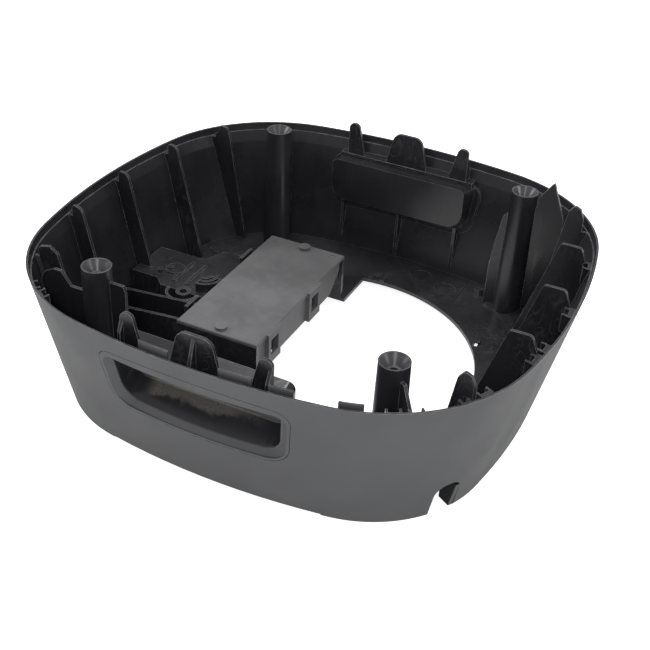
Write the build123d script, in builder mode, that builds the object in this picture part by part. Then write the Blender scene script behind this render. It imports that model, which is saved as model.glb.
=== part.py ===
"""Lower body of a rounded-square multicooker: a moulded shell, two grip inserts and a clip-on cover.

Millimetres, +Z up, origin at the middle of the resting plane. +X runs from the two left screw
towers to the two right ones, and the two carrying grips face -Y and +Y.
"""
import math
import os

from build123d import *

# Body plan at the resting plane. The draft of the wall makes it grow with height.
HALF_X = 145.8
HALF_Y = 139.9
FRONT_BOW = 441.4
SIDE_BOW = 361.3
CORNER_R = 80.3
PLAN_POWER = 2.95
DRAFT = 12.2
RIM_Z = 94.5
WALL = 2.6
FOOT_EDGE = 1.5
OVERRUN = 3.0
FIT_GAP = 0.4

# Floor, its round opening and the relief between the four corner feet.
FLOOR_T = 2.6
FLOOR_TOP = 9.6
OPENING_R = 99.0
OPENING_X = 8.0
RELIEF_H = 1.6
RELIEF_X = 140.0
RELIEF_Y = 130.0
SLOPE_BAND = 24.0
SLOPE_RISE = 6.0

# Thin lip round the rim and the thinned band under it.
LIP_T = 1.2
ROOT = 1.0
LIP_H = 5.0
BAND_T = 1.8
BAND_H = 8.0
SEAL_T = 1.0
SEAL_TABS = ((-23.5, 19.0, 98.0), (26.5, 19.0, 98.0), (52.5, 13.0, 97.0), (88.8, 12.4, 96.8))

# Screw towers.
TOWER_X = 188.0
TOWER_Y = 224.0
TOWER_SHIFT = 3.0
TOWER_TOP = 104.0
TOWER_TOP_R = 8.9
TOWER_FOOT_R = 10.4
TOWER_BORE_R = 6.2
SCREW_R = 2.6
FUNNEL_R = 8.0
FUNNEL_FOOT_R = 4.0
FUNNEL_H = 6.0
SCREW_LAND = 6.0

# Wall fins. The right ones are deep with a sloping edge, the left ones follow the wall.
FIN_T = 2.0
FIN_Y = (-48.0, 8.0, 62.0)
FIN_TOP = 100.6
FIN_DEPTH = 23.0
FIN_FLARE = 6.0
FIN_CAP = 13.4
FIN_SHOULDER = 5.0
LEFT_FIN_TOP = 96.6
LEFT_FIN_DEPTH = 11.5
LEFT_FIN_CAP = 6.0

# Corner fins: heading, place across it, reach at the floor, and their top edge as reach and height.
CORNER_FINS = (
    (0, -105.0, 115.7, ((129.8, 101.5), (133.4, 106.4), (137.5, 104.4), (141.0, 96.7))),
    (0, 105.0, 115.7, ((129.8, 101.5), (133.4, 106.4), (137.5, 104.4), (141.0, 96.7))),
    (180, -100.0, 112.0, ((123.7, 76.8), (128.6, 94.5), (134.0, 98.3), (141.0, 96.6))),
    (180, 105.0, 114.0, ((128.0, 90.0), (130.4, 98.6), (136.0, 99.4), (139.0, 93.0))),
)
CORNER_FIN_R = 2.0

# Webs beside the screw towers, as offsets from the tower axis and heights.
WEB_LEFT = ((0, 84.0), (19.5, 84.0), (25.8, 92.8), (31.0, 92.6), (38.0, 89.0), (43.5, 77.0))
WEB_RIGHT = ((0, 94.0), (9.4, 94.0), (10.2, 102.0), (17.4, 113.4), (19.3, 115.1), (21.9, 107.8), (29.0, 90.0))
WEB_INNER_LEFT = ((0, 95.6), (18.5, 95.6), (19.8, 92.0))
WEB_INNER_RIGHT = ((0, 87.4), (7.4, 87.2), (10.2, 84.6), (12.4, 81.8), (15.5, 60.4), (17.4, 40.0))
WEB_BACK = ((0, 89.0), (10.9, 92.0), (20.8, 81.5))
WEB_CORNER = ((0, 96.4), (12.0, 96.4), (20.0, 84.0))
STUB_X = 120.0
STUB_Y = 140.0
STUB_FOOT = 66.6
STUB_TOP = 92.0

# Brackets under the rim, opening inward: plan points of their inner tips.
BRACKET_W = 8.6
BRACKET_D = 4.3
BRACKET_T = 1.2
BRACKET_FOOT = 77.6
BRACKET_H = 12.0
BRACKETS = (
    (106, -132), (116, -126), (135, -105), (140, -94), (153, -53), (155, -39), (157, 3),
    (153, 62), (141, 110), (-143, -106), (-123, -126), (-113, -131),
)

# Grips, drawn on a plane that touches the sloping front or back wall.
GRIP_X = -2.8
GRIP_Z = 59.0
GRIP_TOP = 122.5
GRIP_FOOT = 113.0
GRIP_H = 42.4
GRIP_BOW = 3.2
GRIP_TOP_R = 9.0
GRIP_FOOT_R = 15.0
MOUTH_TOP = 109.0
MOUTH_FOOT = 101.0
MOUTH_H = 34.8
MOUTH_RISE = 0.4
MOUTH_TOP_R = 6.0
MOUTH_FOOT_R = 12.0
DISH = 3.6
DISH_STEP = 0.6
DISH_EDGE = 0.4
BEZEL_T = 1.2
SLAB_T = 5.4
SLAB_EDGE = 1.2
SLAB_DROP = 2.0
POCKET_END = 130.0
POCKET_HALF = 52.0
POCKET_FOOT = 51.6
POCKET_TOP = 83.1
POCKET_TOP_R = 4.5
POCKET_FOOT_R = 12.0
SKIN = 1.5
SHELF_TOP = 82.2
SHELF_END = 145.5
SHELF_HALF = 52.5
POCKET_RIB_X = 45.5
POCKET_RIB_IN = 138.0
POCKET_RIB_TOP = 50.0

# Tongues over each grip that locate the upper housing.
TONGUE_X = 47.0
TONGUE_Y = 147.0
TONGUE_TOP = 106.6
TONGUE_FOOT_W = 14.2
TONGUE_TIP_W = 7.7
TONGUE_R = 3.8
PLATE_FOOT_W = 33.6
PLATE_TIP_W = 21.0
PLATE_R = 7.0
RIB_DEPTH = 7.0

# Compartment beside the floor opening, and its cover.
BOX_LEFT = -71.0
BOX_RIGHT = -12.7
BOX_NEAR = -61.0
BOX_FAR = 66.4
BOX_WALL = 2.4
COVER_TOP = 43.6
COVER_T = 2.2
SKIRT_SET = 1.2
SKIRT_T = 1.8
SKIRT_FOOT = 21.0
SKIRT_NEAR = -57.0
SKIRT_FAR = 47.0
SKIRT_END = 61.0
SKIRT_CUT = 13.0
LOOP_Y = (-40.0, 17.0)
LOOP_W = 16.0
LOOP_OUT = 3.0
LOOP_BAR = 3.0
WINDOW_FOOT = 27.0
WINDOW_TOP = 38.6
HOOK_W = 8.0
HOOK_OUT = 2.6
HOOK_H = 6.0
BRIDGE_T = 2.4
BRIDGE_FOOT = 23.0
CATCH_Y = (-37.5, 34.0)
CATCH_W = 15.0
CATCH_T = 2.0
CATCH_SET = 2.2
PEG_R = 4.0
PEG_H = 2.2
PEG_X = -41.6
PEG_INSET = 5.6
MARK_R = 3.6
MARK_D = 0.4
MARK_X = 22.5
MARK_INSET = 7.0

# Raised deck and cord clamp between the compartment and the left wall.
DECK_TOP = 27.0
DECK_NEAR = -9.0
DECK_FAR = 35.0
DECK_STEP = 18.0
DECK_CUT = 7.0
DECK_OUT = -125.0
DECK_IN = -102.0
STRIP_X = (-112.5, -102.5)
STRIP_L = 28.0
STRIP_W = 3.0
STRIP_H = 1.2
DISC_R = 7.0
DISC_H = 1.4
PIN_R = 1.8
PIN_TOP = 30.0
PINS = ((-127.0, 5.0), (-122.0, 11.0))
CLIP_X = -87.0
CLIP_Y = 13.0
CLIP_W = 8.0
CLIP_TOP = 30.4
COMB_X = -92.0
COMB_Y = -5.0
COMB_W = 14.0
COMB_TOP = 37.0
CLAMP_X = -89.0
CLAMP_Y = -25.0
CLAMP_TOP = 39.6
CLAMP_R = 5.0
CLAMP_HOLE_R = 2.7
COLLAR_R = 12.0
COLLAR_T = 1.8
TROUGH_Y = (-57.0, -36.4)
TROUGH_TOP = 41.4
TROUGH_LOW = 34.0

# Marks on the floor.
DIMPLE_R = 8.0
DIMPLE_D = 0.6
DIMPLES = ((26.0, 123.0), (48.6, 114.7))
DOME_X = 72.5
DOME_Y = 120.6
DOME_R = 5.0
GROOVE_X = 61.0
GROOVE_Y = 117.5
GROOVE_L = 29.0
GROOVE_W = 2.0
SLOT_X = 93.0
SLOT_Y = 59.0
SLOT_W = 3.0
SLOT_L = 7.0
FOOT_DISC = (-123.0, 79.0)
SNAP_TABS = ((-4.7, 102.0), (0.2, 105.0), (4.3, 102.0))
SNAP_TAB = 3.0

# Cord notch low in the right front corner.
NOTCH_X = 60.1
NOTCH_Y = -54.7
NOTCH_ANGLE = -32.0
NOTCH_W = 18.0
NOTCH_H = 21.6
NOTCH_R = 8.0
NOTCH_DEPTH = 24.0
NOTCH_WALL = 2.0

SLOPE = math.tan(math.radians(DRAFT))
FLOOR_FOOT = FLOOR_TOP - FLOOR_T
LIP_FOOT = RIM_Z - LIP_H
BAND_FOOT = LIP_FOOT - BAND_H
TALLEST = max(height for reach, height in WEB_RIGHT) + OVERRUN
NOTCH_REACH = CORNER_R - NOTCH_DEPTH
FLAT = (Align.CENTER, Align.CENTER, Align.MIN)
HUNG = (Align.CENTER, Align.CENTER, Align.MAX)
OUTWARD = (Align.MIN, Align.CENTER, Align.MIN)


def plan(height, inset):
    """Outline of the body at a height, moved inward from its outer face."""
    grow = height * SLOPE - inset
    with BuildSketch(Plane.XY.offset(height)) as outline:
        with Locations((0, HALF_Y - FRONT_BOW)):
            Circle(FRONT_BOW + grow)
        with Locations((0, FRONT_BOW - HALF_Y)):
            Circle(FRONT_BOW + grow, mode=Mode.INTERSECT)
        with Locations((HALF_X - SIDE_BOW, 0)):
            Circle(SIDE_BOW + grow, mode=Mode.INTERSECT)
        with Locations((SIDE_BOW - HALF_X, 0)):
            Circle(SIDE_BOW + grow, mode=Mode.INTERSECT)
        fillet(outline.vertices(), CORNER_R + grow)
    return outline.sketch


def side_reach(height, across):
    """Distance from the middle to the outer face of a side wall, away from the corners."""
    bow = SIDE_BOW + height * SLOPE
    return HALF_X - SIDE_BOW + math.sqrt(bow * bow - across * across)


def outward_heading(x, y):
    """Direction that faces out of the body at a plan point near the wall, in degrees."""
    power = PLAN_POWER - 1
    lean_x = math.copysign((abs(x) / HALF_X) ** power / HALF_X, x)
    lean_y = math.copysign((abs(y) / HALF_Y) ** power / HALF_Y, y)
    return math.degrees(math.atan2(lean_y, lean_x))


def upright(x, y, heading):
    """Vertical plane through a plan point: its x axis is the heading and its y axis is up."""
    turn = math.radians(heading)
    along = (math.cos(turn), math.sin(turn), 0)
    normal = (math.sin(turn), -math.cos(turn), 0)
    return Plane(origin=(x, y, 0), x_dir=along, z_dir=normal)


def web(place, corners, rounded=(), radius=1.0):
    """Face of a flat web on an upright plane, with the numbered corners rounded."""
    with BuildSketch(place) as face:
        with BuildLine():
            Polyline(*corners, close=True)
        make_face()
        for number in rounded:
            fillet(face.vertices().sort_by_distance(Vector(*corners[number]))[0], radius)
    return face.sketch


def grip_plane(side, depth=0.0):
    """Plane touching the front (-1) or back (+1) wall, moved inward along its normal."""
    lean = math.radians(DRAFT)
    outward = Vector(0, side * math.cos(lean), -math.sin(lean))
    touch = Vector(GRIP_X, side * (HALF_Y + GRIP_Z * SLOPE), GRIP_Z)
    return Plane(origin=touch - outward * depth, x_dir=(-side, 0, 0), z_dir=outward)


def trapezoid(place, middle, top, foot, tall, top_r, foot_r, grow=0.0, bow=0.0):
    """Face of a trapezoid with rounded corners, standing on its narrow side."""
    upper = middle + tall / 2 + grow
    lower = middle - tall / 2 - grow
    left = (-top / 2 - grow, upper)
    right = (top / 2 + grow, upper)
    with BuildSketch(place) as face:
        with BuildLine():
            Polyline(right, (foot / 2 + grow, lower), (-foot / 2 - grow, lower), left)
            if bow > 0:
                ThreePointArc(left, (0, upper + bow), right)
            else:
                Line(left, right)
        make_face()
        fillet(face.vertices().sort_by(Axis.Y)[2:], top_r + grow)
        fillet(face.vertices().sort_by(Axis.Y)[:2], foot_r + grow)
    return face.sketch


def bezel_face(side, depth, grow=0.0):
    """Outline of the bezel on the grip plane, its upper edge bowed."""
    return trapezoid(
        grip_plane(side, depth),
        0,
        GRIP_TOP,
        GRIP_FOOT,
        GRIP_H,
        GRIP_TOP_R,
        GRIP_FOOT_R,
        grow,
        GRIP_BOW,
    )


def slab_face(side, depth, grow=0.0):
    """Outline of the part of the insert that passes through the wall, on the grip plane."""
    return trapezoid(
        grip_plane(side, depth),
        (SLAB_EDGE - SLAB_DROP) / 2,
        GRIP_TOP - SLAB_EDGE * 2,
        GRIP_FOOT - SLAB_EDGE * 2,
        GRIP_H - SLAB_EDGE - SLAB_DROP,
        GRIP_TOP_R,
        GRIP_FOOT_R - SLAB_EDGE,
        grow,
    )


def mouth_face(side, depth, grow=0.0):
    """Outline of the hand opening on the grip plane."""
    return trapezoid(
        grip_plane(side, depth),
        MOUTH_RISE,
        MOUTH_TOP,
        MOUTH_FOOT,
        MOUTH_H,
        MOUTH_TOP_R,
        MOUTH_FOOT_R,
        grow,
    )


def pocket_face(side, inset=0.0):
    """Outline of the closed inner end of the hand pocket, moved inward from its outer skin."""
    end = Plane(
        origin=(GRIP_X, side * (POCKET_END + inset), 0), x_dir=(-side, 0, 0), z_dir=(0, side, 0)
    )
    return trapezoid(
        end,
        (POCKET_TOP + POCKET_FOOT) / 2,
        POCKET_HALF * 2,
        POCKET_HALF * 2,
        POCKET_TOP - POCKET_FOOT,
        POCKET_TOP_R,
        POCKET_FOOT_R,
        -inset,
    )


def pocket_body(side, grow=0.0):
    """Solid of the hand pocket with its skin, from the bezel to its closed end."""
    with BuildPart() as body:
        loft([mouth_face(side, DISH, SKIN + grow), pocket_face(side, -grow)], ruled=True)
    return body.part


def deck_face(height, inset=0.0):
    """Outline of the raised deck, moved inward by its wall."""
    with BuildSketch(Plane.XY.offset(height)) as face:
        with BuildLine():
            Polyline(
                (-HALF_X + inset * 4, DECK_NEAR + DECK_CUT + inset),
                (DECK_OUT - inset, DECK_NEAR + DECK_CUT + inset),
                (DECK_OUT + DECK_CUT, DECK_NEAR + inset),
                (BOX_LEFT + BOX_WALL / 2 - inset, DECK_NEAR + inset),
                (BOX_LEFT + BOX_WALL / 2 - inset, DECK_FAR + DECK_STEP - inset),
                (DECK_IN + inset, DECK_FAR + DECK_STEP - inset),
                (DECK_IN - DECK_CUT, DECK_FAR - inset),
                (-HALF_X + inset * 4, DECK_FAR - inset),
                close=True,
            )
        make_face()
    return face.sketch


def notch_face(reach, grow=0.0):
    """Outline of the arched cord notch, standing across its axis at a reach from the corner."""
    turn = math.radians(NOTCH_ANGLE)
    away = Vector(math.cos(turn), math.sin(turn), 0)
    across = (-math.sin(turn), math.cos(turn), 0)
    place = Plane(
        origin=Vector(NOTCH_X, NOTCH_Y, 0) + away * reach, x_dir=across, z_dir=away
    )
    with BuildSketch(place) as face:
        Rectangle(NOTCH_W + grow * 2, NOTCH_H + OVERRUN + grow, align=(Align.CENTER, Align.MIN))
        fillet(face.vertices().sort_by(Axis.Y)[2:], NOTCH_R + grow)
    return face.sketch


def wall_plug(outline, thick):
    """Solid of an outline on the grip plane, as deep as a thickness of the curved wall."""
    with BuildPart() as plug:
        extrude(outline, amount=-POCKET_RIB_TOP)
        add(body_within(thick), mode=Mode.SUBTRACT)
    return plug.part


def dish_point(along, depth):
    """Radial distance from the axis of the wall's bow, and height, of a point on the dish."""
    lean = math.radians(DRAFT)
    height = GRIP_Z + along * math.cos(lean)
    radial = FRONT_BOW + height * SLOPE
    return (radial - depth * math.cos(lean), height + depth * math.sin(lean))


def grip_insert(side):
    """Dished bezel with its hand pocket for the front (-1) or back (+1) grip."""
    mouth_top = MOUTH_RISE + MOUTH_H / 2
    mouth_foot = MOUTH_RISE - MOUTH_H / 2
    well_top = GRIP_H / 2 - SLAB_DROP - DISH_EDGE
    well_foot = SLAB_EDGE + DISH_EDGE - GRIP_H / 2
    fall = DISH - DISH_STEP
    spread = math.degrees(GRIP_TOP / FRONT_BOW)
    bow_axis = side * (HALF_Y - FRONT_BOW)
    with BuildPart() as dish:
        profile = upright(0, bow_axis, side * 90 - spread)
        ring = [
            dish_point(well_top + OVERRUN, DISH_STEP - OVERRUN * fall / (well_top - mouth_top)),
            dish_point(mouth_top, DISH),
            dish_point(mouth_foot, DISH),
            dish_point(well_foot - OVERRUN, DISH_STEP - OVERRUN * fall / (mouth_foot - well_foot)),
        ]
        revolve(
            web(profile, ring),
            axis=Axis((0, bow_axis, 0), (0, 0, 1)),
            revolution_arc=spread * 2,
        )
    with BuildPart() as well:
        extrude(slab_face(side, DISH, -DISH_EDGE), amount=DISH + OVERRUN)
        loft([slab_face(side, DISH, -DISH_EDGE), mouth_face(side, DISH * 2)], ruled=True)
        add(dish.part, mode=Mode.INTERSECT)
    with BuildPart() as body:
        add(wall_plug(bezel_face(side, -OVERRUN), BEZEL_T))
        add(wall_plug(slab_face(side, -OVERRUN), SLAB_T))
        add(body_within(0), mode=Mode.INTERSECT)
        add(pocket_body(side))
        add(well.part, mode=Mode.SUBTRACT)
        extrude(mouth_face(side, DISH), amount=DISH + OVERRUN, mode=Mode.SUBTRACT)
        loft([mouth_face(side, DISH), pocket_face(side, SKIN)], ruled=True, mode=Mode.SUBTRACT)
    return body.part


def body_within(inset):
    """Solid of the whole body, moved inward from its outer face."""
    with BuildPart() as body:
        loft([plan(0, inset), plan(TALLEST, inset)], ruled=True)
    return body.part


TOWER_LEFT = TOWER_SHIFT - TOWER_X / 2
TOWER_RIGHT = TOWER_SHIFT + TOWER_X / 2
TOWER_NEAR = -TOWER_Y / 2
TOWER_FAR = TOWER_Y / 2
TOWERS = [(x, y) for x in (TOWER_LEFT, TOWER_RIGHT) for y in (TOWER_NEAR, TOWER_FAR)]
TOWER_WEBS = (
    (TOWER_LEFT, TOWER_NEAR, 180, WEB_LEFT),
    (TOWER_LEFT, TOWER_NEAR, 0, WEB_INNER_LEFT),
    (TOWER_LEFT, TOWER_FAR, 90, WEB_BACK),
    (TOWER_RIGHT, TOWER_FAR, 0, WEB_RIGHT),
    (TOWER_RIGHT, TOWER_FAR, 180, WEB_INNER_RIGHT),
    (TOWER_RIGHT, TOWER_FAR, 90, WEB_BACK),
    (TOWER_RIGHT, TOWER_NEAR, -37, WEB_CORNER),
)
COVER_FOOT = COVER_TOP - COVER_T
SKIRT_X = BOX_RIGHT - SKIRT_SET
BRIDGE_X = SKIRT_X - SKIRT_T - FIT_GAP
BOX_MID_X = (BOX_LEFT + BOX_RIGHT) / 2
BOX_MID_Y = (BOX_NEAR + BOX_FAR) / 2

# Room for everything inside: half the wall to root in, and clear of the rim lip above it.
with BuildPart() as core:
    loft([plan(0, ROOT), plan(LIP_FOOT - FIT_GAP, ROOT)], ruled=True)
    extrude(plan(BAND_FOOT, WALL + ROOT), amount=TALLEST - BAND_FOOT)

with BuildPart() as wall_ribs:
    # Right and left wall fins.
    for across in FIN_Y:
        top_in = side_reach(LIP_FOOT, across) - FIN_DEPTH
        right = [
            (top_in - FIN_TOP * SLOPE - FIN_FLARE, FLOOR_FOOT),
            (top_in, FIN_TOP),
            (top_in + FIN_CAP, FIN_TOP),
            (side_reach(LIP_FOOT, across) - FIN_SHOULDER, LIP_FOOT),
            (side_reach(LIP_FOOT, across), LIP_FOOT),
            (side_reach(0, across), FLOOR_FOOT),
        ]
        extrude(web(upright(0, across, 0), right, (1, 2), 3.0), amount=FIN_T / 2, both=True)
        top_in = side_reach(LEFT_FIN_TOP, across) - LEFT_FIN_DEPTH - WALL
        left = [
            (top_in - LEFT_FIN_TOP * SLOPE, FLOOR_FOOT),
            (top_in, LEFT_FIN_TOP),
            (top_in + LEFT_FIN_CAP, LEFT_FIN_TOP),
            (side_reach(LIP_FOOT, across), LIP_FOOT),
            (side_reach(0, across), FLOOR_FOOT),
        ]
        extrude(web(upright(0, across, 180), left, (1,), 6.0), amount=FIN_T / 2, both=True)
    # Fins at the four corners.
    for heading, across, reach, edge in CORNER_FINS:
        corner = [(reach, FLOOR_FOOT), *edge, (HALF_X, LIP_FOOT), (HALF_X, FLOOR_FOOT)]
        extrude(
            web(upright(0, across, heading), corner, (2,), CORNER_FIN_R),
            amount=FIN_T / 2,
            both=True,
        )
    # Screw towers and their webs.
    for x, y, heading, edge in TOWER_WEBS:
        outline = [(0, FLOOR_FOOT), *edge, (edge[-1][0], FLOOR_FOOT)]
        extrude(web(upright(x, y, heading), outline), amount=FIN_T / 2, both=True)
    for x, y in TOWERS:
        with Locations((x, y, FLOOR_FOOT)):
            Cone(TOWER_FOOT_R, TOWER_TOP_R, TOWER_TOP - FLOOR_FOOT, align=FLAT)
    # Short stub rib on the left back wall.
    with Locations(Location((-STUB_X, STUB_Y, STUB_FOOT), (0, 0, 90))):
        Box(OVERRUN * 4, FIN_T, STUB_TOP - STUB_FOOT, align=OUTWARD)
    # Brackets under the rim.
    for x, y in BRACKETS:
        heading = outward_heading(x, y)
        with Locations(Location((x, y, BRACKET_FOOT), (0, 0, heading))):
            Box(BRACKET_D * 2, BRACKET_W, BRACKET_H, align=OUTWARD)
        with Locations(Location((x, y, BRACKET_FOOT + BRACKET_T), (0, 0, heading))):
            Box(
                BRACKET_D - BRACKET_T,
                BRACKET_W - BRACKET_T * 2,
                BRACKET_H,
                align=OUTWARD,
                mode=Mode.SUBTRACT,
            )
    for side in (-1, 1):
        # Upright ribs under the hand pocket.
        for x in (-POCKET_RIB_X, 0, POCKET_RIB_X):
            rib = [
                (POCKET_RIB_IN, FLOOR_FOOT),
                (POCKET_RIB_IN, POCKET_RIB_TOP),
                (POCKET_RIB_IN + FLOOR_FOOT * 2, POCKET_RIB_TOP),
                (POCKET_RIB_IN + FLOOR_FOOT * 2, FLOOR_FOOT),
            ]
            extrude(web(upright(GRIP_X + x, 0, side * 90), rib), amount=FIN_T / 2, both=True)
        # Shelf over the pocket with the three tongues on it.
        with Locations((GRIP_X, side * SHELF_END, POCKET_TOP - MOUTH_H / 2)):
            Box(
                SHELF_HALF * 2,
                OVERRUN * 4,
                SHELF_TOP - POCKET_TOP + MOUTH_H / 2,
                align=(Align.CENTER, Align.MIN if side > 0 else Align.MAX, Align.MIN),
            )
        plate = upright(GRIP_X, side * TONGUE_Y, 0)
        foot = SHELF_TOP - OVERRUN
        middle = [
            (-PLATE_FOOT_W / 2, foot),
            (-PLATE_TIP_W / 2, TONGUE_TOP),
            (PLATE_TIP_W / 2, TONGUE_TOP),
            (PLATE_FOOT_W / 2, foot),
        ]
        extrude(web(plate, middle, (1, 2), PLATE_R), amount=FIN_T / 2, both=True)
        middle_rib = [
            (TONGUE_Y, foot),
            (TONGUE_Y, TONGUE_TOP - FIN_T),
            (TONGUE_Y + FIN_T, TONGUE_TOP - FIN_T),
            (TONGUE_Y + RIB_DEPTH, LIP_FOOT),
            (TONGUE_Y + RIB_DEPTH * 2, BAND_FOOT),
            (TONGUE_Y + RIB_DEPTH * 2, foot),
        ]
        extrude(web(upright(GRIP_X, 0, side * 90), middle_rib), amount=FIN_T / 2, both=True)
        for hand in (-1, 1):
            outer = hand * TONGUE_X
            tongue = [
                (outer, foot),
                (outer, TONGUE_TOP),
                (outer - hand * TONGUE_TIP_W, TONGUE_TOP),
                (outer - hand * TONGUE_FOOT_W, foot),
            ]
            extrude(web(plate, tongue, (1, 2), TONGUE_R), amount=FIN_T / 2, both=True)
            edge = [
                (TONGUE_Y, foot),
                (TONGUE_Y, TONGUE_TOP - TONGUE_R),
                (TONGUE_Y + RIB_DEPTH, LIP_FOOT),
                (TONGUE_Y + RIB_DEPTH * 2, BAND_FOOT),
                (TONGUE_Y + RIB_DEPTH * 2, foot),
            ]
            flank = upright(GRIP_X + outer - hand * FIN_T / 2, 0, side * 90)
            extrude(web(flank, edge), amount=FIN_T / 2, both=True)
    # Ribs of the cord trough, the raised deck and the tunnel behind the cord notch.
    for y in TROUGH_Y:
        trough = [
            (BOX_LEFT + BOX_WALL / 2, FLOOR_FOOT),
            (BOX_LEFT + BOX_WALL / 2, TROUGH_TOP),
            (BOX_LEFT - CATCH_SET - CATCH_T, TROUGH_TOP),
            (-HALF_X, TROUGH_LOW),
            (-HALF_X, FLOOR_FOOT),
        ]
        extrude(web(upright(0, y, 0), trough), amount=FIN_T / 2, both=True)
    extrude(deck_face(FLOOR_FOOT), amount=DECK_TOP - FLOOR_FOOT)
    extrude(notch_face(NOTCH_REACH - NOTCH_WALL, NOTCH_WALL), amount=NOTCH_DEPTH * 2)
    with Locations((NOTCH_X, NOTCH_Y, FLOOR_FOOT)):
        Box(HALF_X * 2, HALF_X * 2, FLOOR_FOOT * 2, align=HUNG, mode=Mode.SUBTRACT)
    add(core.part, mode=Mode.INTERSECT)

with BuildPart() as tab_room:
    for x, wide, top in SEAL_TABS:
        with Locations((x, -HALF_Y, 0)):
            Box(wide, HALF_Y, top, align=FLAT)

with BuildPart() as seal_strip:
    extrude(plan(LIP_FOOT - OVERRUN, LIP_T + FIT_GAP), amount=TALLEST - LIP_FOOT)
    extrude(
        plan(LIP_FOOT - OVERRUN, LIP_T + FIT_GAP + SEAL_T),
        amount=TALLEST - LIP_FOOT,
        mode=Mode.SUBTRACT,
    )
    add(tab_room.part, mode=Mode.INTERSECT)

with BuildPart() as floor_slope:
    loft([plan(FLOOR_TOP - ROOT, ROOT), plan(FLOOR_TOP + SLOPE_RISE, ROOT)], ruled=True)
    loft(
        [plan(FLOOR_TOP, WALL + SLOPE_BAND), plan(FLOOR_TOP + SLOPE_RISE, WALL)],
        ruled=True,
        mode=Mode.SUBTRACT,
    )
    with Locations((BOX_RIGHT - HALF_X + TOWER_X / 2, 0, 0)):
        Box(HALF_X * 2, HALF_Y * 3, RIM_Z, align=FLAT, mode=Mode.SUBTRACT)
    with Locations((HALF_X, TOWER_NEAR, 0)):
        Box(HALF_X, RELIEF_Y / 2, RIM_Z, align=FLAT, mode=Mode.SUBTRACT)

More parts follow.
